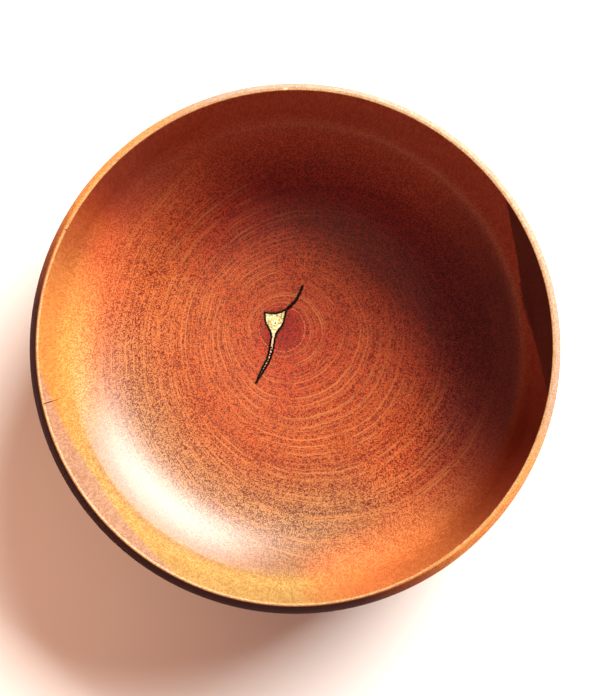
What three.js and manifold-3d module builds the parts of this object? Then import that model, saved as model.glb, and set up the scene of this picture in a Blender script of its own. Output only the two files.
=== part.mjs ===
// A round wooden bowl turned on a lathe from one end-grain block. The pith lies in its floor,
// beside the centre, and the crack that opened there is filled with gold-coloured filler.
// Millimetres, +Z up. The origin is the centre of the foot, on the table.
import * as THREE from "three";
import { mergeVertices } from "three/addons/utils/BufferGeometryUtils.js";
import Module from "manifold-3d";

// Driving dimensions of the turned body
const BOWL_HEIGHT = 80;
const BELLY_RADIUS = 130;
const BELLY_HEIGHT = 62;
const RIM_INNER_RADIUS = 122.6;
const RIM_FLAT_WIDTH = 1.5;
const RIM_ROUNDING = 0.6;
const OUTSIDE_EXPONENT = 2.9;
const UNDERSIDE_HEIGHT = 4;

// Driving dimensions of the inside: the floor turns up towards its edge, the cove outside it grows
// steeper evenly, and a rounded corner leads from the cove to the foot of the steep wall
const FLOOR_HEIGHT = 11;
const FLOOR_RADIUS = 87;
const FLOOR_RISE = 6.7;
const FLOOR_POWER = 4;
const COVE_RADIUS = 115.5;
const COVE_SLOPE = 0.79;
const WALL_FOOT_RADIUS = 121.8;
const WALL_FOOT_HEIGHT = 49;

// Driving dimensions of the foot ring under the bowl. Its side rises steeply for a share of its height
// and then flares out to the body, and the wall of the recess breaks its slope at a share of its own.
const FOOT_RADIUS = 54;
const FOOT_FACE_WIDTH = 8;
const FOOT_FLARE = 3;
const FOOT_SIDE_SHARE = 0.6;
const RECESS_DEPTH = 2.5;
const RECESS_SLOPE = 4;
const RECESS_BREAK_SHARE = 1 / 3;

// The crack at the pith: the outline of its wide part and the middle line of its two branches.
// Each branch point is x, y and half the width of the crack there.
const CRACK_DEPTH = 5.5;
const PITH_OUTLINE = [
  [-16.8, 21.4], [-16.2, 15.6], [-14.2, 12.0], [-13.1, 9.6], [-13.2, 7.6], [-10.2, 7.4],
  [-9.6, 9.7], [-7.9, 12.0], [-6.3, 14.2], [-5.5, 17.0], [-4.7, 22.6], [-10.5, 20.9],
];
const UPPER_BRANCH = [
  [-6.7, 20.3, 0.95], [-4.9, 22.2, 0.9], [-2.2, 24.6, 0.85],
  [0.6, 27.8, 0.85], [2.7, 31.7, 0.8], [4.3, 35.4, 0.7],
];
const LOWER_BRANCH = [
  [-11.0, 11.0, 1.7], [-11.7, 7.9, 1.25], [-12.0, 5.4, 1.45], [-13.0, -0.3, 1.25],
  [-14.3, -4.5, 1.2], [-16.5, -8.6, 1.1], [-18.6, -12.7, 0.95], [-21.2, -17.3, 0.6],
];
const FILL_CLEARANCE = 0.3;

// How finely the round shapes are cut
const TURNS = 80;
const FLOOR_STEPS = 7;
const COVE_STEPS = 6;
const CORNER_STEPS = 4;
const OUTSIDE_STEPS = 13;
const LIP_STEPS = 5;
const BRANCH_STEPS = 16;

const wasm = await Module();
wasm.setup();

function solidFrom(geometry) {
  const plain = geometry.clone();
  plain.deleteAttribute("normal");
  plain.deleteAttribute("uv");
  const merged = mergeVertices(plain, 1e-5);
  const vertProperties = new Float32Array(merged.attributes.position.array);
  const triVerts = new Uint32Array(merged.index.array);
  return new wasm.Manifold(new wasm.Mesh({ numProp: 3, vertProperties, triVerts }));
}

function geometryFrom(solid) {
  const mesh = solid.getMesh();
  const geometry = new THREE.BufferGeometry();
  geometry.setAttribute("position", new THREE.BufferAttribute(mesh.vertProperties, 3));
  geometry.setIndex(new THREE.BufferAttribute(mesh.triVerts, 1));
  geometry.computeVertexNormals();
  return geometry;
}

// Point on a squared-off ellipse: a quarter turn goes from the side to the lowest point
function squaredEllipse(radius, depth, exponent, angle) {
  const across = Math.max(Math.cos(angle), 0) ** (2 / exponent);
  const down = Math.max(Math.sin(angle), 0) ** (2 / exponent);
  return new THREE.Vector2(radius * across, depth * down);
}

// Height of the outside at a radius below the belly
function outsideHeight(radius) {
  const rest = 1 - (radius / BELLY_RADIUS) ** OUTSIDE_EXPONENT;
  return BELLY_HEIGHT - (BELLY_HEIGHT - UNDERSIDE_HEIGHT) * rest ** (1 / OUTSIDE_EXPONENT);
}

// Inside of the bowl, from the centre of the floor out and up to the rim
function insideProfile() {
  const points = [];
  for (let step = 0; step < FLOOR_STEPS; step += 1) {
    const share = Math.sqrt(step / FLOOR_STEPS);
    points.push(new THREE.Vector2(FLOOR_RADIUS * share, FLOOR_HEIGHT + FLOOR_RISE * share ** FLOOR_POWER));
  }
  const floorSlope = (FLOOR_POWER * FLOOR_RISE) / FLOOR_RADIUS;
  const coveWidth = COVE_RADIUS - FLOOR_RADIUS;
  for (let step = 0; step < COVE_STEPS; step += 1) {
    const out = coveWidth * (step / COVE_STEPS);
    points.push(new THREE.Vector2(FLOOR_RADIUS + out, coveHeight(out, floorSlope, coveWidth)));
  }

  // The corner is rounded between the line of the cove and the line of the wall
  const coveEdge = new THREE.Vector2(COVE_RADIUS, coveHeight(coveWidth, floorSlope, coveWidth));
  const wallFoot = new THREE.Vector2(WALL_FOOT_RADIUS, WALL_FOOT_HEIGHT);
  const lean = (RIM_INNER_RADIUS - WALL_FOOT_RADIUS) / (BOWL_HEIGHT - WALL_FOOT_HEIGHT);
  const gap = WALL_FOOT_RADIUS - lean * (WALL_FOOT_HEIGHT - coveEdge.y) - COVE_RADIUS;
  const reach = gap / (1 - lean * COVE_SLOPE);
  const corner = new THREE.Vector2(COVE_RADIUS + reach, coveEdge.y + COVE_SLOPE * reach);
  points.push(...new THREE.QuadraticBezierCurve(coveEdge, corner, wallFoot).getPoints(CORNER_STEPS));
  points.push(new THREE.Vector2(RIM_INNER_RADIUS, BOWL_HEIGHT - RIM_ROUNDING));
  return points;
}

// Height of the cove at a distance outside the floor, where its slope has grown evenly
function coveHeight(out, floorSlope, width) {
  const bend = (COVE_SLOPE - floorSlope) / (2 * width);
  return FLOOR_HEIGHT + FLOOR_RISE + floorSlope * out + bend * out ** 2;
}

// Outside of the bowl, from the centre of the recess under the foot up to the rim
function outsideProfile() {
  const footInner = FOOT_RADIUS - FOOT_FACE_WIDTH;
  const bodyStart = FOOT_RADIUS + FOOT_FLARE;
  const points = [
    new THREE.Vector2(0, RECESS_DEPTH),
    new THREE.Vector2(footInner - RECESS_SLOPE, RECESS_DEPTH),
    new THREE.Vector2(footInner - RECESS_SLOPE * RECESS_BREAK_SHARE, RECESS_DEPTH * RECESS_BREAK_SHARE),
    new THREE.Vector2(footInner, 0),
    new THREE.Vector2(FOOT_RADIUS, 0),
    new THREE.Vector2(FOOT_RADIUS + FOOT_FLARE / 4, outsideHeight(bodyStart) * FOOT_SIDE_SHARE),
  ];
  const depth = BELLY_HEIGHT - UNDERSIDE_HEIGHT;
  const startAcross = (bodyStart / BELLY_RADIUS) ** (OUTSIDE_EXPONENT / 2);
  const startAngle = Math.acos(startAcross);
  for (let step = 0; step <= OUTSIDE_STEPS; step += 1) {
    const angle = startAngle * (1 - step / OUTSIDE_STEPS);
    const point = squaredEllipse(BELLY_RADIUS, depth, OUTSIDE_EXPONENT, angle);
    points.push(new THREE.Vector2(point.x, BELLY_HEIGHT - point.y));
  }

  // Above the belly the outside rolls in to the thin lip as an arc
  const lipRadius = RIM_INNER_RADIUS + RIM_FLAT_WIDTH + RIM_ROUNDING;
  const inset = BELLY_RADIUS - lipRadius;
  const rise = BOWL_HEIGHT - RIM_ROUNDING - BELLY_HEIGHT;
  const lean = 2 * Math.atan(inset / rise);
  const bend = rise / Math.sin(lean);
  for (let step = 1; step <= LIP_STEPS; step += 1) {
    const angle = (lean * step) / LIP_STEPS;
    const radius = BELLY_RADIUS - bend * (1 - Math.cos(angle));
    points.push(new THREE.Vector2(radius, BELLY_HEIGHT + bend * Math.sin(angle)));
  }
  points.push(new THREE.Vector2(RIM_INNER_RADIUS + RIM_FLAT_WIDTH, BOWL_HEIGHT));
  points.push(new THREE.Vector2(RIM_INNER_RADIUS + RIM_ROUNDING, BOWL_HEIGHT));
  return points;
}

function turned(profile) {
  const geometry = new THREE.LatheGeometry(profile, TURNS);
  geometry.rotateX(Math.PI / 2);
  return solidFrom(geometry);
}

// Upright prism over an outline, from a low height to a high one
function prism(shape, low, high) {
  const geometry = new THREE.ExtrudeGeometry(shape, {
    depth: high - low,
    bevelEnabled: false,
  });
  geometry.translate(0, 0, low);
  return solidFrom(geometry);
}

// Outline of one tapering branch of the crack, going round it counter-clockwise
function branchOutline(branch) {
  const middle = new THREE.SplineCurve(branch.map(([x, y]) => new THREE.Vector2(x, y)));
  const left = [];
  const right = [];
  for (let step = 0; step <= BRANCH_STEPS; step += 1) {
    const place = (branch.length - 1) * (step / BRANCH_STEPS);
    const before = Math.min(Math.floor(place), branch.length - 2);
    const [near, far] = [branch[before][2], branch[before + 1][2]];
    const halfWidth = THREE.MathUtils.lerp(near, far, place - before);
    const point = middle.getPoint(step / BRANCH_STEPS);
    const side = middle.getTangent(step / BRANCH_STEPS).rotateAround(new THREE.Vector2(), Math.PI / 2);
    left.push(point.clone().addScaledVector(side, halfWidth));
    right.push(point.clone().addScaledVector(side, -halfWidth));
  }
  return [...right, ...left.reverse()];
}

// A counter-clockwise outline moved inward by a margin, corner by corner
function narrowed(outline, margin) {
  const inward = outline.map((point, index) => {
    const next = outline[(index + 1) % outline.length];
    return next.clone().sub(point).normalize().rotateAround(new THREE.Vector2(), Math.PI / 2);
  });
  return outline.map((point, index) => {
    const before = inward[(index + outline.length - 1) % outline.length];
    const after = inward[index];
    const step = before.clone().add(after).multiplyScalar(margin / (1 + before.dot(after)));
    return point.clone().add(step);
  });
}

function crackSolid(margin, low, high) {
  const pithOutline = PITH_OUTLINE.map(([x, y]) => new THREE.Vector2(x, y));
  const outlines = [pithOutline, branchOutline(UPPER_BRANCH), branchOutline(LOWER_BRANCH)];
  const [pith, upper, lower] = outlines.map((outline) => {
    const shape = new THREE.Shape(narrowed(outline, margin));
    return prism(shape, low, high);
  });
  return pith.add(upper).add(lower);
}

// The bowl with its crack cut into the floor
const inside = insideProfile();
const crackBottom = FLOOR_HEIGHT - CRACK_DEPTH;
const blank = turned([...outsideProfile(), ...inside.slice().reverse()]);
const bowlSolid = blank.subtract(crackSolid(0, crackBottom, FLOOR_HEIGHT + CRACK_DEPTH));

// The filler fills the crack up to the surface of the floor
const rimCorner = inside[inside.length - 1];
const underFloor = turned([
  new THREE.Vector2(0, RECESS_DEPTH),
  new THREE.Vector2(rimCorner.x, RECESS_DEPTH),
  ...inside.slice().reverse(),
]);
const fillBlank = crackSolid(FILL_CLEARANCE, crackBottom + FILL_CLEARANCE, FLOOR_HEIGHT + CRACK_DEPTH);
const fillSolid = fillBlank.intersect(underFloor);

const bowlWood = new THREE.MeshStandardMaterial({ color: 0xa85428, roughness: 0.35, metalness: 0 });
const goldFiller = new THREE.MeshStandardMaterial({ color: 0xe6d58c, roughness: 0.45, metalness: 0.8 });

const bowl = new THREE.Mesh(geometryFrom(bowlSolid), bowlWood);
bowl.name = "bowl";
const inlay = new THREE.Mesh(geometryFrom(fillSolid), goldFiller);
inlay.name = "gold_inlay";

const group = new THREE.Group();
group.name = "turned_bowl";
group.add(bowl, inlay);

export default group;
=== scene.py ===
import math

import bpy
import numpy as np
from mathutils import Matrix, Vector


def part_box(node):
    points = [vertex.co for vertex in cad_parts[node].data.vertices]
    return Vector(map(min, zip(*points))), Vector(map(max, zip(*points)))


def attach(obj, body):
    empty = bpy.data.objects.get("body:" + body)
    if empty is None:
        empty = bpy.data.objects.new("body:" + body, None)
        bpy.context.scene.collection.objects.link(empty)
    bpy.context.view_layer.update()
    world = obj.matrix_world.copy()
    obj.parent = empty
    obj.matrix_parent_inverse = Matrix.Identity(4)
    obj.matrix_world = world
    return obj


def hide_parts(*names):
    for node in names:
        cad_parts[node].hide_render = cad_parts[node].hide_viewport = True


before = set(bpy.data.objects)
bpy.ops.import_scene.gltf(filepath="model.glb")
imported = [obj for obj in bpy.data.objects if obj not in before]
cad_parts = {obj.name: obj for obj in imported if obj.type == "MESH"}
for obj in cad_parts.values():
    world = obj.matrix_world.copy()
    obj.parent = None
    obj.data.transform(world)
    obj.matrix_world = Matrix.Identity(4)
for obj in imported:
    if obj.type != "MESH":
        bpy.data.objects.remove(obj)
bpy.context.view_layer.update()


# The turned bowl
# One block of red-brown end-grain hardwood, turned on a lathe with its pith beside the axis,
# hollowed to a thin incurved lip, sanded fine and rubbed with oil to a satin polish.

# Sizes are in millimetres. The height and the belly's radius are the solid's own.
MM = 0.001
bowl_low, bowl_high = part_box("bowl")
BOWL_HEIGHT = bowl_high.z / MM
BELLY_RADIUS = (bowl_high.x - bowl_low.x) / 2 / MM
BELLY_HEIGHT = 62.0
RIM_INNER_RADIUS = 122.6
RIM_FLAT_WIDTH = 1.5
RIM_ROUNDING = 0.6
FLOOR_HEIGHT = 11.0
FLOOR_RADIUS = 87.0
FLOOR_RISE = 6.7
FLOOR_POWER = 4
COVE_RADIUS = 115.5
COVE_SLOPE = 0.79
WALL_FOOT_RADIUS = 121.8
WALL_FOOT_HEIGHT = 49.0
OUTSIDE_EXPONENT = 2.9
UNDERSIDE_HEIGHT = 4.0
FOOT_RADIUS = 54.0
FOOT_FACE_WIDTH = 8.0
FOOT_FLARE = 3.0
RECESS_DEPTH = 2.5
RECESS_SLOPE = 4.0
EDGE_BREAK = 0.5

# Steps of the mesh: round the axis, and along each stretch of the section
TURNS = 320
FLOOR_STEPS = 60
COVE_STEPS = 44
CORNER_STEPS = 24
WALL_STEPS = 26
FOOT_STEPS = 10
RECESS_EDGE_STEPS = 8
OUTSIDE_STEPS = 56
LIP_STEPS = 22
RIM_EDGE_STEPS = 6
SHARP_TURN = math.radians(35)


def squared_ellipse(radius, depth, exponent, angle):
    """Distance from the axis and depth below the middle of a squared-off ellipse: each is its half
    length times the cosine or sine of the angle, raised to two over the exponent."""
    power = 2 / exponent
    across = np.clip(np.cos(angle), 0, 1) ** power
    down = np.clip(np.sin(angle), 0, 1) ** power
    return np.stack([radius * across, depth * down], axis=-1)


def floor_height(radius):
    """Height of the floor at a radius: its middle height plus its rise times the share of its own
    radius to a power, so that it is flat in the middle and turns up all round."""
    return FLOOR_HEIGHT + FLOOR_RISE * (radius / FLOOR_RADIUS) ** FLOOR_POWER


def inside_profile():
    """Radius and height down the inside: the steep wall, the rounded corner at its foot, the cove whose
    slope grows evenly outward, and the floor in to its middle."""
    floor_radius = FLOOR_RADIUS * np.linspace(0, 1, FLOOR_STEPS)
    floor = np.stack([floor_radius, floor_height(floor_radius)], axis=-1)
    floor_slope = FLOOR_POWER * FLOOR_RISE / FLOOR_RADIUS
    out = np.linspace(0, COVE_RADIUS - FLOOR_RADIUS, COVE_STEPS)
    steepening = (COVE_SLOPE - floor_slope) / out[-1]
    cove_height = floor[-1, 1] + floor_slope * out + steepening * out**2 / 2
    cove = np.stack([FLOOR_RADIUS + out, cove_height], axis=-1)
    lean = (RIM_INNER_RADIUS - WALL_FOOT_RADIUS) / (BOWL_HEIGHT - WALL_FOOT_HEIGHT)
    wall_height = np.linspace(WALL_FOOT_HEIGHT, BOWL_HEIGHT - 2 * RIM_ROUNDING, WALL_STEPS)
    wall = np.stack([WALL_FOOT_RADIUS + lean * (wall_height - WALL_FOOT_HEIGHT), wall_height], axis=-1)
    beyond = WALL_FOOT_RADIUS - lean * (WALL_FOOT_HEIGHT - cove[-1, 1]) - COVE_RADIUS
    reach = beyond / (1 - lean * COVE_SLOPE)
    corner = cove[-1] + reach * np.array([1, COVE_SLOPE])
    turn = rounded_corner(cove[-1], corner, wall[0], CORNER_STEPS)
    return np.concatenate([floor[:-1], cove[:-1], turn[:-1], wall])[::-1]


def rounded_corner(start, corner, end, steps):
    """A parabola from start to end that is drawn towards the corner between them: the three points
    weighted by the squares and the double product of the share left and the share gone."""
    share = np.linspace(0, 1, steps)[:, None]
    start, corner, end = (np.asarray(point, float) for point in (start, corner, end))
    return (1 - share) ** 2 * start + 2 * share * (1 - share) * corner + share**2 * end


def foot_profile(body_foot):
    """Radius and height from the middle of the recess over the ring that the bowl stands on, up to
    the point where the foot flares into the body."""
    foot_inner = FOOT_RADIUS - FOOT_FACE_WIDTH
    recess_edge = foot_inner - RECESS_SLOPE
    recess_radius = np.linspace(0, recess_edge, FOOT_STEPS)
    recess = np.stack([recess_radius, np.full(FOOT_STEPS, RECESS_DEPTH)], axis=-1)
    wall_corner = (foot_inner - RECESS_SLOPE / 3, RECESS_DEPTH)
    wall = rounded_corner(recess[-1], wall_corner, (foot_inner, 0), RECESS_EDGE_STEPS)
    face = np.array([[foot_inner + EDGE_BREAK, 0.0], [FOOT_RADIUS - EDGE_BREAK, 0.0]])
    side_corner = (FOOT_RADIUS, body_foot[1])
    side = rounded_corner((FOOT_RADIUS, EDGE_BREAK), side_corner, body_foot, FOOT_STEPS)
    return np.concatenate([recess[:-1], wall, face, side[:-1]])


def lip_profile():
    """Radius and height from the belly up: an arc that leans in to the lip, the flat of the rim and
    the rounding of its inner edge."""
    lip_radius = RIM_INNER_RADIUS + RIM_FLAT_WIDTH + RIM_ROUNDING
    rise = BOWL_HEIGHT - RIM_ROUNDING - BELLY_HEIGHT
    lean = 2 * math.atan((BELLY_RADIUS - lip_radius) / rise)
    bend = rise / math.sin(lean)
    angle = np.linspace(0, lean, LIP_STEPS)
    arc = np.stack([BELLY_RADIUS - bend * (1 - np.cos(angle)), bend * np.sin(angle)], axis=-1)
    arc[:, 1] += BELLY_HEIGHT
    flat_outer = (lip_radius - RIM_ROUNDING, BOWL_HEIGHT)
    flat_inner = (RIM_INNER_RADIUS + RIM_ROUNDING, BOWL_HEIGHT)
    outer_corner = (lip_radius - RIM_ROUNDING / 2, BOWL_HEIGHT)
    outer_edge = rounded_corner(arc[-1], outer_corner, flat_outer, RIM_EDGE_STEPS)
    inner_corner = (RIM_INNER_RADIUS, BOWL_HEIGHT)
    inner_end = (RIM_INNER_RADIUS, BOWL_HEIGHT - RIM_ROUNDING * 1.5)
    inner_edge = rounded_corner(flat_inner, inner_corner, inner_end, RIM_EDGE_STEPS)
    return np.concatenate([arc[:-1], outer_edge, inner_edge])


def bowl_profile():
    """Radius, height and outside share round the whole section, from the middle of the recess under
    the foot out over the foot, up the outside, over the lip and down the inside to the middle of the
    floor. The share is one up to the outer edge of the rim, falls to nought across it and stays so."""
    body_start = FOOT_RADIUS + FOOT_FLARE
    depth = BELLY_HEIGHT - UNDERSIDE_HEIGHT
    start_angle = math.acos((body_start / BELLY_RADIUS) ** (OUTSIDE_EXPONENT / 2))
    turn = np.linspace(start_angle, 0, OUTSIDE_STEPS)
    outside = squared_ellipse(BELLY_RADIUS, depth, OUTSIDE_EXPONENT, turn)
    outside[:, 1] = BELLY_HEIGHT - outside[:, 1]
    under = np.concatenate([foot_profile(outside[0]), outside[:-1]])
    lip = lip_profile()
    past_flat = (lip[:, 0] - RIM_INNER_RADIUS) / RIM_FLAT_WIDTH * 2 - 1
    inside = inside_profile()
    points = np.concatenate([under, lip, inside])
    share = np.concatenate([np.ones(len(under)), np.clip(past_flat, 0, 1), np.zeros(len(inside))])
    return np.concatenate([points, share[:, None]], axis=1)


def turned_mesh(name, profile, turns):
    """Carries a profile round the axis: x and y are its radius times the cosine and sine of the
    turn. Both ends of the profile lie on the axis and close with a fan of triangles. The profile's
    outside share goes to every point of its row."""
    angle = np.linspace(0, 2 * math.pi, turns, endpoint=False)
    radius, height = profile[1:-1, :1], profile[1:-1, 1:2]
    rings = np.stack(
        [radius * np.cos(angle), radius * np.sin(angle), height + np.zeros(turns)], axis=-1
    )
    poles = np.array([[0, 0, profile[0, 1]], [0, 0, profile[-1, 1]]])
    points = np.concatenate([rings.reshape(-1, 3), poles]) * MM
    here = np.arange(turns)
    after = (here + 1) % turns
    row = np.arange(len(radius) - 1)[:, None] * turns
    quads = np.stack([row + here, row + after, row + turns + after, row + turns + here], axis=-1)
    low_pole = np.full(turns, len(points) - 2)
    high_pole = np.full(turns, len(points) - 1)
    last = (len(radius) - 1) * turns
    fan_low = np.stack([low_pole, after, here], axis=-1)
    fan_high = np.stack([last + here, last + after, high_pole], axis=-1)
    mesh = bpy.data.meshes.new(name)
    faces = quads.reshape(-1, 4).tolist() + fan_low.tolist() + fan_high.tolist()
    mesh.from_pydata(points.tolist(), [], faces)
    share = np.concatenate([np.repeat(profile[1:-1, 2], turns), profile[[0, -1], 2]])
    mesh.attributes.new("outside", "FLOAT", "POINT").data.foreach_set("value", share)
    mesh.update()
    return mesh


def make_object(name, mesh):
    """Adds an object that shows a mesh, a lamp or a camera to the scene."""
    made = bpy.data.objects.new(name, mesh)
    bpy.context.scene.collection.objects.link(made)
    return made


bowl = make_object("turned_bowl", turned_mesh("turned_bowl", bowl_profile(), TURNS))


def hex_colour(text):
    """Linear colour of an sRGB hex value: each channel over 255, plus 0.055 and over 1.055, to the
    power of 2.4, or over 12.92 where it is very dark."""
    channels = [int(text[k : k + 2], 16) / 255 for k in (1, 3, 5)]
    linear = [c / 12.92 if c < 0.04045 else ((c + 0.055) / 1.055) ** 2.4 for c in channels]
    return (*linear, 1.0)


def new_material(name):
    """Makes a material with no nodes and returns it with its tree."""
    made = bpy.data.materials.new(name)
    made.use_nodes = True
    made.node_tree.nodes.clear()
    return made, made.node_tree


def add_node(tree, kind, inputs, output=0, **settings):
    """Adds a node with its settings and returns one of its outputs. An input is a value, or a socket
    to link from. A Mix node takes its two colours as inputs 6 and 7 and gives a colour as output 2."""
    made = tree.nodes.new("ShaderNode" + kind)
    for name, value in settings.items():
        setattr(made, name, value)
    for name, value in inputs.items():
        if isinstance(value, bpy.types.NodeSocket):
            tree.links.new(value, made.inputs[name])
        else:
            made.inputs[name].default_value = value
    return made.outputs[output] if made.outputs else made


def set_stops(ramp, stops):
    """Gives the ramp behind a colour its stops, each a place from nought to one and a hex colour."""
    elements = ramp.node.color_ramp.elements
    while len(elements) < len(stops):
        elements.new(1.0)
    for element, (where, colour) in zip(elements, stops):
        element.position = where
        element.color = hex_colour(colour)


def cosine_from(bearing, tree, plan, radius):
    """Cosine of the angle between a point and a bearing in degrees: the point's plan times the unit
    vector along that bearing, over the point's radius."""
    towards = (math.cos(math.radians(bearing)), math.sin(math.radians(bearing)), 0)
    along = add_node(tree, "VectorMath", {0: plan, 1: towards}, "Value", operation="DOT_PRODUCT")
    return add_node(tree, "Math", {0: along, 1: radius}, operation="DIVIDE")


# Oiled end-grain hardwood: fine pale growth rings round the pith, thin rays across them, and pores that
# make a salt-and-pepper grain on the floor and streaks up the wall, under a satin film of oil.
wood, tree = new_material("oiled_end_grain_hardwood")
place = add_node(tree, "TexCoord", {}, "Object")
mm = add_node(tree, "VectorMath", {0: place, "Scale": 1 / MM}, operation="SCALE")
plan = add_node(tree, "VectorMath", {0: mm, 1: (1, 1, 0)}, operation="MULTIPLY")
radius = add_node(tree, "VectorMath", {0: plan}, "Value", operation="LENGTH")
height = add_node(tree, "VectorMath", {0: mm, 1: (0, 0, 1)}, "Value", operation="DOT_PRODUCT")
outside = add_node(tree, "Attribute", {}, "Fac", attribute_name="outside")

# Rings wander a few millimetres from true circles, less so up the trunk than across it
PITH = (-10.5, 14.4, 0.0)
WANDER_SIZE = 38
WANDER = 6.0
WANDER_STRETCH = (1, 1, 0.25)
stretched = add_node(tree, "VectorMath", {0: mm, 1: WANDER_STRETCH}, operation="MULTIPLY")
wander = add_node(
    tree, "TexNoise", {"Vector": stretched, "Scale": 1 / WANDER_SIZE, "Detail": 4.0}, "Color"
)
wander = add_node(tree, "VectorMath", {0: wander, 1: (0.5, 0.5, 0.5)}, operation="SUBTRACT")
wandered = add_node(
    tree, "VectorMath", {0: wander, 1: (WANDER, WANDER, 0), 2: plan}, operation="MULTIPLY_ADD"
)
from_pith = add_node(tree, "VectorMath", {0: wandered, 1: PITH}, operation="SUBTRACT")

# Ring radius: each ring is a circle whose centre has drifted from the pith in proportion to its size,
# so the radius is the root of a quadratic in the offset from the pith and its part along the drift
RING_DRIFT = (0.30, -0.15, 0.0)
drift_left = 1 - RING_DRIFT[0] ** 2 - RING_DRIFT[1] ** 2
drifted = add_node(tree, "VectorMath", {0: from_pith, 1: RING_DRIFT}, "Value", operation="DOT_PRODUCT")
square = add_node(tree, "VectorMath", {0: from_pith, 1: from_pith}, "Value", operation="DOT_PRODUCT")
drifted_square = add_node(tree, "Math", {0: drifted, 1: drifted}, operation="MULTIPLY")
under_root = add_node(
    tree, "Math", {0: square, 1: drift_left, 2: drifted_square}, operation="MULTIPLY_ADD"
)
root = add_node(tree, "Math", {0: under_root}, operation="SQRT")
ring = add_node(tree, "Math", {0: root, 1: drifted}, operation="SUBTRACT")
ring = add_node(tree, "Math", {0: ring, 1: drift_left}, operation="DIVIDE")

# Heartwood is darker at the pith, inside one pale early ring. Each stop is a ring radius in millimetres
# and a colour.
HEART_STOPS = [
    (0, "#6b1006"), (8, "#761507"), (11.6, "#7e1e0a"), (12.0, "#a44e28"), (12.5, "#86270c"),
    (25, "#8c2c0c"), (45, "#97350f"),
]
HEART_SPAN = HEART_STOPS[-1][0]
share = add_node(tree, "Math", {0: ring, 1: HEART_SPAN}, operation="DIVIDE")
wood_colour = add_node(tree, "ValToRGB", {"Fac": share})
set_stops(wood_colour, [(where / HEART_SPAN, colour) for where, colour in HEART_STOPS])

# End grain drinks the oil and stays dark on the floor. The wall, cut along the grain, is paler all round.
# Both are more orange on the lit side, at the lower left: on the floor and cove this is painted light, and
# up the wall the gold and amber are partly the wood's own colour towards the sapwood and partly painted
# light. The side in shade, at the upper right and right, is painted dark red and dull rose as painted
# shade. A dark patch is painted shade at the shade's edge on the upper left wall, and one floor patch at
# the lower right is painted lighter as painted light. Each zone is the bearing of its middle in degrees,
# the cosines of its edge and of its full strength, the radii of the same, and a colour that covers the
# zones before it.
ZONES = [
    (227, -0.6, 0.4, 15, 45, "#903a10"),  # floor on the lit side, orange as painted light
    (160, 0.84, 0.97, 40, 80, "#984418"),  # floor at the left
    (322, 0.85, 0.97, 52, 84, "#a84010"),  # floor at the lower right, lighter as painted light by the shade's edge
    (60, 0.0, 0.7, 40, 72, "#8a1d09"),  # floor at the upper right, dark red as painted shade
    (0, -3, -2, 85, 120, "#bc572e"),  # wall all round
    (240, 0.2, 0.8, 50, 94, "#82542c"),  # cove on the lit side, tan as painted light
    (228, 0.1, 0.75, 112, 122, "#a88446"),  # wall above it, gold, partly its own colour and partly painted light
    (180, 0.9, 0.99, 98, 117, "#cc7f3c"),  # wall at the left, amber, partly its own colour and partly painted light
    (298, 0.88, 0.98, 96, 116, "#c26c36"),  # wall at the lower right, amber, partly its own colour and partly painted light
    (133, 0.966, 0.996, 96, 116, "#983e25"),  # wall at the upper left, dark as painted shade at the shade's edge
    (358, 0.6, 0.95, 65, 95, "#762a1c"),  # floor and cove at the right, dark as painted shade
    (62, 0.1, 0.7, 112, 121, "#b66250"),  # wall at the upper right, dull rose as painted shade
]
for bearing, edge, full, inner, outer, colour in ZONES:
    cosine = cosine_from(bearing, tree, plan, radius)
    facing = add_node(tree, "MapRange", {"Value": cosine, "From Min": edge, "From Max": full})
    nearing = add_node(
        tree, "MapRange", {"Value": radius, "From Min": inner, "From Max": outer},
        interpolation_type="SMOOTHSTEP",
    )
    zone = add_node(tree, "Math", {0: facing, 1: nearing}, operation="MULTIPLY")
    wood_colour = add_node(
        tree, "Mix", {"Factor": zone, 6: wood_colour, 7: hex_colour(colour)}, 2, data_type="RGBA"
    )

# Two lenses of duller wood where the wall inside just reaches the bark side. Each is the bearing of its
# middle in degrees, the height of its lowest point, how fast its edge rises to both sides, and a colour.
LENSES = [(214, 40.0, 320, "#a07a60"), (11.5, 37.5, 520, "#5e3236")]
LENS_EDGE = 2.4
LENS_RIPPLE = 3.0
RIPPLE_SIZE = 2
ripple = add_node(tree, "TexNoise", {"Vector": mm, "Scale": 1 / RIPPLE_SIZE, "Detail": 2.0})
for bearing, lowest, rise, colour in LENSES:
    cosine = cosine_from(bearing, tree, plan, radius)
    edge = add_node(tree, "Math", {0: cosine, 1: -rise, 2: lowest + rise}, operation="MULTIPLY_ADD")
    edge = add_node(tree, "Math", {0: ripple, 1: LENS_RIPPLE, 2: edge}, operation="MULTIPLY_ADD")
    above = add_node(tree, "Math", {0: height, 1: edge}, operation="SUBTRACT")
    lens = add_node(
        tree, "MapRange",
        {"Value": above, "From Min": -LENS_RIPPLE / 2, "From Max": LENS_EDGE - LENS_RIPPLE / 2},
    )
    wood_colour = add_node(
        tree, "Mix", {"Factor": lens, 6: wood_colour, 7: hex_colour(colour)}, 2, data_type="RGBA"
    )

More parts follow.
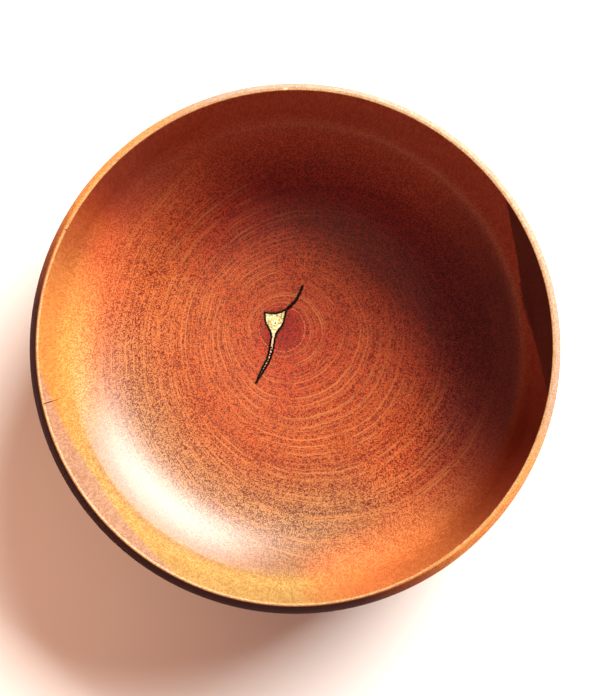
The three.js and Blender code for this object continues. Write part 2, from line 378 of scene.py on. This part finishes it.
# The rim is pale sapwood, with one paler fleck across it at the far side
RIM_COLOUR = "#b88c58"
RIM_LINE = (RIM_INNER_RADIUS + 0.05, RIM_INNER_RADIUS + 0.2)
FLECK_COLOUR = "#fff0a8"
FLECK_PLACE = (-5.0, 124.4, BOWL_HEIGHT)
FLECK_EDGE = (0.9, 1.8)
past_rim = add_node(
    tree, "MapRange", {"Value": radius, "From Min": RIM_LINE[0], "From Max": RIM_LINE[1]}
)
wood_colour = add_node(
    tree, "Mix", {"Factor": past_rim, 6: wood_colour, 7: hex_colour(RIM_COLOUR)}, 2, data_type="RGBA"
)
to_fleck = add_node(tree, "VectorMath", {0: mm, 1: FLECK_PLACE}, "Value", operation="DISTANCE")
fleck = add_node(
    tree, "MapRange",
    {
        "Value": to_fleck, "From Min": FLECK_EDGE[0], "From Max": FLECK_EDGE[1],
        "To Min": 1, "To Max": 0,
    },
)
fleck = add_node(tree, "Math", {0: fleck, 1: past_rim}, operation="MULTIPLY")
wood_colour = add_node(
    tree, "Mix", {"Factor": fleck, 6: wood_colour, 7: hex_colour(FLECK_COLOUR)}, 2, data_type="RGBA"
)

# Growth bands about a millimetre wide, in stronger and weaker groups
BAND_WIDTH = 0.9
GROUP_WIDTH = 12
GROUP_WEIGHT = 0.7
band = add_node(
    tree, "TexNoise", {"W": ring, "Scale": 1 / BAND_WIDTH, "Detail": 3.0, "Roughness": 0.65},
    noise_dimensions="1D",
)
group = add_node(
    tree, "TexNoise", {"W": ring, "Scale": 1 / GROUP_WIDTH, "Detail": 1.0}, noise_dimensions="1D"
)
band = add_node(tree, "Math", {0: group, 1: GROUP_WEIGHT, 2: band}, operation="MULTIPLY_ADD")

# Rays: fine streaks straight out from the pith, about half a millimetre wide at 40 mm from it
RAYS_PER_RADIAN = 70
RAY_LENGTH = 5
east = add_node(tree, "VectorMath", {0: from_pith, 1: (1, 0, 0)}, "Value", operation="DOT_PRODUCT")
north = add_node(tree, "VectorMath", {0: from_pith, 1: (0, 1, 0)}, "Value", operation="DOT_PRODUCT")
turn = add_node(tree, "Math", {0: north, 1: east}, operation="ARCTAN2")
turn = add_node(tree, "Math", {0: turn, 1: RAYS_PER_RADIAN}, operation="MULTIPLY")
outward = add_node(tree, "Math", {0: ring, 1: RAY_LENGTH}, operation="DIVIDE")
ray_place = add_node(tree, "CombineXYZ", {"X": turn, "Y": outward})
ray = add_node(tree, "TexNoise", {"Vector": ray_place, "Scale": 1.0, "Detail": 1.0})

# Open pores and dense tissue stand side by side as tubes along the trunk, 0.1 to 0.2 mm wide in truth
# and drawn larger here so that they show
CELL_SIZE = 0.44
TUBE_STRETCH = (1, 1, 0.12)
CELL_TONES = (0.3, 0.7)
tubes = add_node(tree, "VectorMath", {0: mm, 1: TUBE_STRETCH}, operation="MULTIPLY")
cells = add_node(tree, "TexVoronoi", {"Vector": tubes, "Scale": 1 / CELL_SIZE}, "Color")
cell = add_node(tree, "VectorMath", {0: cells, 1: (1, 0, 0)}, "Value", operation="DOT_PRODUCT")
cell = add_node(tree, "MapRange", {"Value": cell, "From Min": CELL_TONES[0], "From Max": CELL_TONES[1]})

# All three tint the wood between a darker, redder and a paler, more orange tone. MEAN_TINT is where the
# plain wood lies on that way and a weight is how much of it each goes. The tints are calmer up the wall.
MEAN_TINT = 0.42
CELL_WEIGHT = 1.35
RAY_WEIGHT = 0.35
BAND_WEIGHT = 1.2
DARK_TINT = (0.38, 0.1, 0.04, 1)
PALE_TINT = (1.55, 2.05, 2.6, 1)
CALM_RADII = (88, 118)
CALM_WALL = 0.7
weights = CELL_WEIGHT + RAY_WEIGHT + BAND_WEIGHT * (1 + GROUP_WEIGHT)
tint_start = MEAN_TINT - weights / 2
pattern = add_node(tree, "Math", {0: cell, 1: CELL_WEIGHT, 2: tint_start}, operation="MULTIPLY_ADD")
pattern = add_node(tree, "Math", {0: ray, 1: RAY_WEIGHT, 2: pattern}, operation="MULTIPLY_ADD")
pattern = add_node(tree, "Math", {0: band, 1: BAND_WEIGHT, 2: pattern}, operation="MULTIPLY_ADD")
tint = add_node(
    tree, "Mix", {"Factor": pattern, 6: DARK_TINT, 7: PALE_TINT}, 2, data_type="RGBA"
)
calm = add_node(
    tree, "MapRange",
    {"Value": radius, "From Min": CALM_RADII[0], "From Max": CALM_RADII[1], "To Max": CALM_WALL},
)
tint = add_node(tree, "Mix", {"Factor": calm, 6: tint, 7: (1, 1, 1, 1)}, 2, data_type="RGBA")
wood_colour = add_node(tree, "VectorMath", {0: wood_colour, 1: tint}, operation="MULTIPLY")

# Thin pale lines close some years' growth: a strong set and a faint, closer one, both broken. They are
# faint towards the upper right, where the inside lies in shade, as painted shade, and gone where the wall
# begins. Each set is the spacing of its lines and half their width, in millimetres, and their strength.
LINE_COLOUR = "#bc7a44"
LINE_BREAK_SIZE = 16
LINE_BREAK = (0.34, 0.58)
LINE_SETS = [(5.0, 0.42, 0.7), (2.2, 0.32, 0.42)]
FIRST_LINE = (11, 16)
WALL_START = (104, 116)
UPPER_RIGHT = (0.77, 0.64, 0)
FAINT_FROM = (10, 60)
FAINT = 0.15
broken = add_node(tree, "TexNoise", {"Vector": mm, "Scale": 1 / LINE_BREAK_SIZE, "Detail": 2.0})
presence = add_node(
    tree, "MapRange", {"Value": broken, "From Min": LINE_BREAK[0], "From Max": LINE_BREAK[1]}
)
mature = add_node(tree, "MapRange", {"Value": ring, "From Min": FIRST_LINE[0], "From Max": FIRST_LINE[1]})
along = add_node(tree, "VectorMath", {0: plan, 1: UPPER_RIGHT}, "Value", operation="DOT_PRODUCT")
clear = add_node(
    tree, "MapRange",
    {"Value": along, "From Min": FAINT_FROM[0], "From Max": FAINT_FROM[1], "To Min": 1, "To Max": FAINT},
)
on_floor = add_node(
    tree, "MapRange",
    {"Value": radius, "From Min": WALL_START[0], "From Max": WALL_START[1], "To Min": 1, "To Max": 0},
)
for part in (mature, clear, on_floor):
    presence = add_node(tree, "Math", {0: presence, 1: part}, operation="MULTIPLY")
for spacing, half_width, strength in LINE_SETS:
    to_line = add_node(
        tree, "TexVoronoi", {"W": ring, "Scale": 1 / spacing}, voronoi_dimensions="1D"
    )
    line = add_node(
        tree, "MapRange",
        {"Value": to_line, "From Max": half_width / spacing, "To Min": strength, "To Max": 0},
    )
    line = add_node(tree, "Math", {0: line, 1: presence}, operation="MULTIPLY")
    wood_colour = add_node(
        tree, "Mix", {"Factor": line, 6: wood_colour, 7: hex_colour(LINE_COLOUR)}, 2,
        data_type="RGBA",
    )

# Pores leave a slight relief under the film of oil
GRAIN_RELIEF = 0.03 * MM
bump = add_node(
    tree, "Bump",
    {"Height": cells.node.outputs["Distance"], "Strength": 0.5, "Distance": GRAIN_RELIEF},
)
polished = add_node(
    tree, "BsdfPrincipled",
    {"Base Color": wood_colour, "Roughness": 0.33, "IOR": 1.5, "Normal": bump},
)

# The outside is bare, dry wood with its light and shade painted in. It is pale at the right, which is
# painted light on the side that faces the lamp, and orange to both sides. At the lower left it is a
# near-black red band, which is painted shade on the side away from the lamp. It is one even brown down to
# the foot. Each stop is the cosine of the angle from the bearing of that shaded side and a colour.
FOOT_COLOUR = "#a8683a"
FOOT_FADE = (75, 120)
SHADE_SIDE_BEARING = 228
OUTSIDE_STOPS = [
    (-0.5, "#a8846a"), (-0.25, "#d08a4c"), (0.15, "#e08a40"), (0.35, "#a04e1c"), (0.55, "#4a1206"),
    (0.75, "#3a0b04"),
]
cosine = cosine_from(SHADE_SIDE_BEARING, tree, plan, radius)
share = add_node(tree, "Math", {0: cosine, 1: 0.5, 2: 0.5}, operation="MULTIPLY_ADD")
painted_light_outside_colour = add_node(tree, "ValToRGB", {"Fac": share})
set_stops(painted_light_outside_colour, [(0.5 + where / 2, colour) for where, colour in OUTSIDE_STOPS])
belly = add_node(
    tree, "MapRange", {"Value": radius, "From Min": FOOT_FADE[0], "From Max": FOOT_FADE[1]}
)
painted_light_outside_colour = add_node(
    tree, "Mix", {"Factor": belly, 6: hex_colour(FOOT_COLOUR), 7: painted_light_outside_colour}, 2, data_type="RGBA"
)
painted_light_outside_colour = add_node(tree, "VectorMath", {0: painted_light_outside_colour, 1: tint}, operation="MULTIPLY")
bare = add_node(
    tree, "BsdfPrincipled",
    {"Base Color": painted_light_outside_colour, "Roughness": 0.85, "Specular IOR Level": 0.15, "Normal": bump},
)
shader = add_node(tree, "MixShader", {0: outside, 1: polished, 2: bare})
add_node(tree, "OutputMaterial", {"Surface": shader})
bowl.data.materials.append(wood)


# The crack at the pith
# Drying opened the wood at the pith into a three-cornered gap with a long check running out of it
# both ways. It goes about half way through the floor.

# Each row is one line across the crack, from its upper tip to its lower tip: the left side's x and
# y and then the right side's, in millimetres in plan.
CRACK_ROWS = np.array([
    [3.8, 35.8, 4.8, 35.5], [2.1, 31.9, 3.2, 31.3], [0.1, 28.1, 1.1, 27.3],
    [-2.7, 25.2, -1.7, 24.2], [-5.3, 22.8, -4.4, 22.0], [-8.1, 21.5, -4.6, 20.6],
    [-10.8, 20.9, -4.9, 19.2], [-13.7, 21.1, -5.2, 17.7], [-16.8, 21.4, -5.6, 16.0],
    [-16.5, 18.2, -6.3, 14.2], [-16.2, 15.6, -7.4, 12.6], [-15.2, 13.7, -8.6, 11.1],
    [-14.2, 11.9, -9.5, 9.8], [-13.2, 9.8, -10.0, 8.4], [-13.0, 7.9, -10.3, 6.9],
    [-13.5, 5.4, -10.6, 5.2], [-13.9, 2.4, -11.0, 2.2], [-14.3, 0.0, -11.7, -0.6],
    [-15.4, -4.1, -13.2, -4.9], [-17.6, -8.0, -15.5, -9.1], [-19.4, -12.4, -18.0, -13.1],
    [-21.5, -17.1, -20.9, -17.5],
])
CRACK_DEPTH = 5.5
CRACK_STEPS = 260
CRACK_COLUMNS = 5

# Both sides stand back a little from their rows, which leaves a dark line round the gold, and are rough
# in three waves. Each wave is its turn along a millimetre and its start, in radians.
CRACK_OPENING = 0.28
EDGE_ROUGHNESS = 0.15
EDGE_WAVES = [(2.1, 0), (3.7, 1.3), (5.9, 4)]


def crack_steps():
    """Both sides of the crack in even steps along its length, as points on straight lines between the
    rows, with the row number at each step."""
    row_lengths = np.abs(np.diff(CRACK_ROWS, axis=0)).reshape(-1, 2, 2).sum(axis=2).max(axis=1)
    along = np.concatenate([[0], np.cumsum(row_lengths)])
    place = np.linspace(0, along[-1], CRACK_STEPS)
    sides = np.stack([np.interp(place, along, column) for column in CRACK_ROWS.T], axis=-1)
    return sides, np.interp(place, along, np.arange(len(CRACK_ROWS)))


def crack_outline(margin):
    """Outline of the crack in plan, down its left side and back up its right, roughened by three sine
    waves along its length and moved inward by the margin less CRACK_OPENING."""
    sides, _ = crack_steps()
    outline = np.concatenate([sides[:, :2], sides[::-1, 2:]])
    heading = np.roll(outline, -1, axis=0) - np.roll(outline, 1, axis=0)
    heading /= np.linalg.norm(heading, axis=1, keepdims=True)
    inward = np.stack([-heading[:, 1], heading[:, 0]], axis=-1)
    way = np.cumsum(np.linalg.norm(np.roll(outline, -1, axis=0) - outline, axis=1))
    waves = sum(np.sin(way * turn + begin) for turn, begin in EDGE_WAVES)
    return outline + inward * (margin - CRACK_OPENING + EDGE_ROUGHNESS * waves / 2)[:, None]


def crack_plan(outline, columns):
    """Grid of points in plan over the crack: each row runs straight from its left to its right side."""
    left, right = outline[:CRACK_STEPS, None], outline[: CRACK_STEPS - 1 : -1, None]
    across = np.linspace(0, 1, columns)[:, None]
    return left * (1 - across) + right * across


def block_mesh(name, top, bottom):
    """Closed block between two grids of points of one shape: the top grid, the bottom grid turned
    over, and a strip of quads round their common edge."""
    rows, columns = top.shape[:2]
    index = np.arange(rows * columns).reshape(rows, columns)
    cells = [index[:-1, :-1], index[1:, :-1], index[1:, 1:], index[:-1, 1:]]
    upper = np.stack(cells, axis=-1).reshape(-1, 4)
    edge = np.concatenate([index[:-1, 0], index[-1, :-1], index[:0:-1, -1], index[0, :0:-1]])
    onward = np.roll(edge, -1)
    under = rows * columns
    walls = np.stack([onward, edge, edge + under, onward + under], axis=-1)
    faces = np.concatenate([upper, upper[:, ::-1] + under, walls])
    mesh = bpy.data.meshes.new(name)
    points = np.concatenate([top.reshape(-1, 3), bottom.reshape(-1, 3)]) * MM
    mesh.from_pydata(points.tolist(), [], faces.tolist())
    mesh.update()
    return mesh


def at_height(plan, height):
    """Points of a plan grid at a height, which is one number or a grid of them."""
    return np.concatenate([plan, np.broadcast_to(height, plan.shape[:2])[..., None]], axis=-1)


def cut_out(body, top, bottom):
    """Takes the block between two grids out of the body and leaves the result as the body's mesh.
    The faces of the cut take the body's second material."""
    cutter = make_object("cutter", block_mesh("cutter", top, bottom))
    faces = cutter.data.polygons
    faces.foreach_set("material_index", np.ones(len(faces), dtype=np.int32))
    cut = body.modifiers.new("cut", "BOOLEAN")
    cut.operation = "DIFFERENCE"
    cut.solver = "EXACT"
    cut.object = cutter
    graph = bpy.context.evaluated_depsgraph_get()
    uncut, body_cut = body.data, bpy.data.meshes.new_from_object(body.evaluated_get(graph))
    body.modifiers.remove(cut)
    body.data = body_cut
    bpy.data.meshes.remove(uncut)
    bpy.data.objects.remove(cutter)


# Resin-soaked crack wall: nearly black brown, a little glossy
soaked, tree = new_material("resin_soaked_crack_wall")
shader = add_node(
    tree, "BsdfPrincipled",
    {"Base Color": hex_colour("#1a0b07"), "Roughness": 0.4, "IOR": 1.5},
)
add_node(tree, "OutputMaterial", {"Surface": shader})
bowl.data.materials.append(soaked)

crack_area = crack_plan(crack_outline(0.0), CRACK_COLUMNS)
cut_out(
    bowl,
    at_height(crack_area, FLOOR_HEIGHT + CRACK_DEPTH),
    at_height(crack_area, FLOOR_HEIGHT - CRACK_DEPTH),
)

# A hair check runs down the wall inside from the rim, and a pinhole marks the rim. Each row is a
# height, a bearing in degrees and half a width. Both reach from the hollow a little way into the wall.
HAIR_CHECK = np.array([
    [81.0, 193.45, 0.18], [72.0, 193.1, 0.24], [63.6, 192.8, 0.2], [54.0, 192.5, 0.13],
    [45.0, 192.2, 0.04],
])
PINHOLE = np.array([[80.6, 153.6, 0.3], [79.0, 153.6, 0.3]])
SLIT_REACH = (-1.0, 0.9)
for slit in (HAIR_CHECK, PINHOLE):
    wall_radius = np.interp(
        slit[:, 0], [WALL_FOOT_HEIGHT, BOWL_HEIGHT], [WALL_FOOT_RADIUS, RIM_INNER_RADIUS]
    )
    half_turn = slit[:, 2] / wall_radius
    turn = np.radians(slit[:, 1])[:, None] + half_turn[:, None] * np.array([1, -1])
    faces = []
    for depth in SLIT_REACH:
        reach = (wall_radius + depth)[:, None]
        level = slit[:, :1] + np.zeros(2)
        faces.append(np.stack([reach * np.cos(turn), reach * np.sin(turn), level], axis=-1))
    cut_out(bowl, *faces)

bowl.data.shade_smooth()
bowl.data.set_sharp_from_angle(angle=SHARP_TURN)
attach(bowl, "root")
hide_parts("bowl")


# The gold filler
# Pale gold metal grains packed into the wide part of the crack with dark resin, which also fills the
# narrow branches, and sanded nearly level with the floor.
FILL_CLEARANCE = 0.3
FILL_COLUMNS = 41

# Gold begins between the first two of these rows of the crack, ends between the last two, and starts this
# far in from the edge. Past its rows it shows only as glints on the lumps of the resin, painted in as pale
# gold colour: partly gold grains and partly a painted highlight.
GOLD_ROWS = (4.7, 5.3, 15.4, 16.0)
GOLD_EDGE = (0.85, 1.1)
GLINT_LUMPS = (-0.2, 0.5)
GLINT_SHARE = 0.85

# The resin starts a little under the floor at its edge and swells to the middle, with lumps on it. The
# gold lies almost level with the floor.
RESIN_CROWN = 0.26
RESIN_LUMP = 0.05
RESIN_SINK = 0.28
GRAIN_LIFT = 0.03
GRAIN_SINK = 0.05
FILL_SHARP_TURN = math.radians(50)
fill_outline = crack_outline(FILL_CLEARANCE)
fill_area = crack_plan(fill_outline, FILL_COLUMNS)
_, row_number = crack_steps()


def smooth_share(value, low, high):
    """Nought below low, one above high, and three squares less two cubes of the share between."""
    share = np.clip((value - low) / (high - low), 0, 1)
    return share**2 * (3 - 2 * share)


def resin_lumps(x, y):
    """Uneven lumps about two millimetres apart: the product of two sine waves that cross, plus a third."""
    return np.sin(1.9 * x + 2.6 * y) * np.sin(2.3 * x - 1.4 * y + 1) + np.sin(4.1 * y + 2)


def gold_grain(x, y):
    """Fine bumps under a millimetre apart: the product of two sine waves that cross."""
    return np.sin(9.1 * x + 3.7 * y) * np.sin(8.3 * y - 4.4 * x)


edge_gap = np.linalg.norm(fill_area[:, :, None] - fill_outline, axis=-1).min(axis=-1)
in_gold = smooth_share(row_number, *GOLD_ROWS[:2]) * (1 - smooth_share(row_number, *GOLD_ROWS[2:]))
across = np.linspace(-1, 1, FILL_COLUMNS)
lumps = resin_lumps(fill_area[..., 0], fill_area[..., 1])
glints = smooth_share(lumps, *GLINT_LUMPS) * GLINT_SHARE
gold_share = smooth_share(edge_gap, *GOLD_EDGE) * np.maximum(in_gold[:, None], glints)
resin_lift = (1 - across**2) * (RESIN_CROWN + RESIN_LUMP * lumps) - RESIN_SINK
grain_lift = GRAIN_LIFT * gold_grain(fill_area[..., 0], fill_area[..., 1]) - GRAIN_SINK
lift = resin_lift + (grain_lift - resin_lift) * gold_share
fill_top = at_height(fill_area, floor_height(np.linalg.norm(fill_area, axis=-1)) + lift)
fill_bottom = at_height(fill_area, FLOOR_HEIGHT - CRACK_DEPTH + FILL_CLEARANCE)
inlay = make_object("gold_filler", block_mesh("gold_filler", fill_top, fill_bottom))
share = np.concatenate([gold_share.ravel(), np.zeros(gold_share.size)])
inlay.data.attributes.new("gold", "FLOAT", "POINT").data.foreach_set("value", share)

# Gold grains in resin: a pale yellow grainy glitter inside a glossy brown-black line, duller and pinker
# down the narrow tail. The grains are drawn coarser than life so that they show.
GOLD_GRAIN = 0.8
GRAIN_STOPS = [(0, "#746a34"), (0.25, "#b4aa60"), (0.75, "#dcd494"), (1.0, "#fffde8")]
TAIL_COLOUR = "#d6a88c"
TAIL_FROM = (6.5, 10)
TAIL_SHARE = 0.8
RESIN_COLOUR = "#140805"
METAL_SHARE = 0.25
gold, tree = new_material("gold_grains_in_resin")
place = add_node(tree, "TexCoord", {}, "Object")
mm = add_node(tree, "VectorMath", {0: place, "Scale": 1 / MM}, operation="SCALE")
gold_part = add_node(tree, "Attribute", {}, "Fac", attribute_name="gold")
grains = add_node(tree, "TexVoronoi", {"Vector": mm, "Scale": 1 / GOLD_GRAIN}, "Color")
grain = add_node(tree, "VectorMath", {0: grains, 1: (1, 0, 0)}, "Value", operation="DOT_PRODUCT")
gold_colour = add_node(tree, "ValToRGB", {"Fac": grain})
set_stops(gold_colour, GRAIN_STOPS)
north = add_node(tree, "VectorMath", {0: mm, 1: (0, 1, 0)}, "Value", operation="DOT_PRODUCT")
tail = add_node(
    tree, "MapRange",
    {
        "Value": north, "From Min": TAIL_FROM[0], "From Max": TAIL_FROM[1],
        "To Min": TAIL_SHARE, "To Max": 0,
    },
)
gold_colour = add_node(
    tree, "Mix", {"Factor": tail, 6: gold_colour, 7: hex_colour(TAIL_COLOUR)}, 2, data_type="RGBA"
)
fill_colour = add_node(
    tree, "Mix", {"Factor": gold_part, 6: hex_colour(RESIN_COLOUR), 7: gold_colour}, 2,
    data_type="RGBA",
)
metal = add_node(tree, "Math", {0: gold_part, 1: METAL_SHARE}, operation="MULTIPLY")
fill_roughness = add_node(tree, "MapRange", {"Value": gold_part, "To Min": 0.2, "To Max": 0.45})
shader = add_node(
    tree, "BsdfPrincipled",
    {"Base Color": fill_colour, "Roughness": fill_roughness, "Metallic": metal},
)
add_node(tree, "OutputMaterial", {"Surface": shader})
inlay.data.materials.append(gold)
inlay.data.shade_smooth()
inlay.data.set_sharp_from_angle(angle=FILL_SHARP_TURN)
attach(inlay, "root")
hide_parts("gold_inlay")


# The table
# A plain pale surface under the bowl, which isn't part of it.
TABLE_HALF = 3.0
table_mesh = bpy.data.meshes.new("table")
corners = [(-1, -1), (1, -1), (1, 1), (-1, 1)]
table_mesh.from_pydata([(x * TABLE_HALF, y * TABLE_HALF, 0) for x, y in corners], [], [[0, 1, 2, 3]])
table = make_object("table", table_mesh)
pale, tree = new_material("pale_table")
shader = add_node(
    tree, "BsdfPrincipled", {"Base Color": hex_colour("#f2f0ea"), "Roughness": 0.7}
)
add_node(tree, "OutputMaterial", {"Surface": shader})
table.data.materials.append(pale)


# The light
# One broad soft light from the upper right, a dim warm lamp overhead that lightens the shadow on the
# table, and dim warm surroundings that are brighter low down than overhead.
LIGHT_AZIMUTH = math.radians(50)
LIGHT_HEIGHT = math.radians(38)
LIGHT_DISTANCE = 2.5
LIGHT_WIDTH = 1.85
LIGHT_DEPTH = 0.8
LIGHT_POWER = 195
broad_lamp = bpy.data.lights.new("broad_light", "AREA")
broad_lamp.shape = "RECTANGLE"
broad_lamp.size = LIGHT_WIDTH
broad_lamp.size_y = LIGHT_DEPTH
broad_lamp.energy = LIGHT_POWER
broad_lamp.color = hex_colour("#fffcf8")[:3]
broad_light = make_object("broad_light", broad_lamp)
broad_light.location = (
    LIGHT_DISTANCE * math.cos(LIGHT_HEIGHT) * math.cos(LIGHT_AZIMUTH),
    LIGHT_DISTANCE * math.cos(LIGHT_HEIGHT) * math.sin(LIGHT_AZIMUTH),
    LIGHT_DISTANCE * math.sin(LIGHT_HEIGHT),
)
broad_light.rotation_euler = (math.pi / 2 - LIGHT_HEIGHT, 0, LIGHT_AZIMUTH + math.pi / 2)

FILL_PLACE = (-0.2, -0.1, 1.2)
FILL_POWER = 26
FILL_CONE = math.radians(26)
fill_lamp = bpy.data.lights.new("fill", "SPOT")
fill_lamp.energy = FILL_POWER
fill_lamp.color = hex_colour("#ffc49e")[:3]
fill_lamp.spot_size = FILL_CONE
fill_lamp.spot_blend = 1.0
fill_lamp.shadow_soft_size = 0.1
fill = make_object("fill", fill_lamp)
fill.location = FILL_PLACE

# Each stop is the sine of the height above the horizon and a colour
SURROUND_STOPS = [(0, "#b88a70"), (0.35, "#9c7464"), (0.7, "#84595a"), (1.0, "#84595a")]
world = bpy.data.worlds.new("surroundings")
bpy.context.scene.world = world
world.use_nodes = True
tree = world.node_tree
heading = add_node(tree, "TexCoord", {}, "Generated")
climb = add_node(tree, "VectorMath", {0: heading, 1: (0, 0, 1)}, "Value", operation="DOT_PRODUCT")
glow = add_node(tree, "ValToRGB", {"Fac": climb})
set_stops(glow, SURROUND_STOPS)
tree.links.new(glow, tree.nodes["Background"].inputs["Color"])


# The camera
# Hand-held above the bowl, a little towards the viewer from its middle, and aimed at it.
IMAGE_WIDTH = 600
PIXELS_PER_MM = 2.0968
CAMERA_HEIGHT = 550.0
camera_place = np.array([-5.6, -33.3, BOWL_HEIGHT + CAMERA_HEIGHT])
camera_aim = np.array([1.8, -2.0, BOWL_HEIGHT])
camera_data = bpy.data.cameras.new("camera")
camera_data.sensor_fit = "HORIZONTAL"
reach = np.linalg.norm(camera_aim - camera_place)
camera_data.lens = camera_data.sensor_width * PIXELS_PER_MM * reach / IMAGE_WIDTH
camera = make_object("camera", camera_data)
camera.location = camera_place * MM
lean = camera_aim - camera_place
camera.rotation_mode = "YXZ"
camera.rotation_euler = (
    math.atan2(lean[1], -lean[2]), math.atan2(-lean[0], math.hypot(lean[1], lean[2])), 0
)
bpy.context.scene.camera = camera
bpy.context.scene.view_settings.view_transform = "Standard"
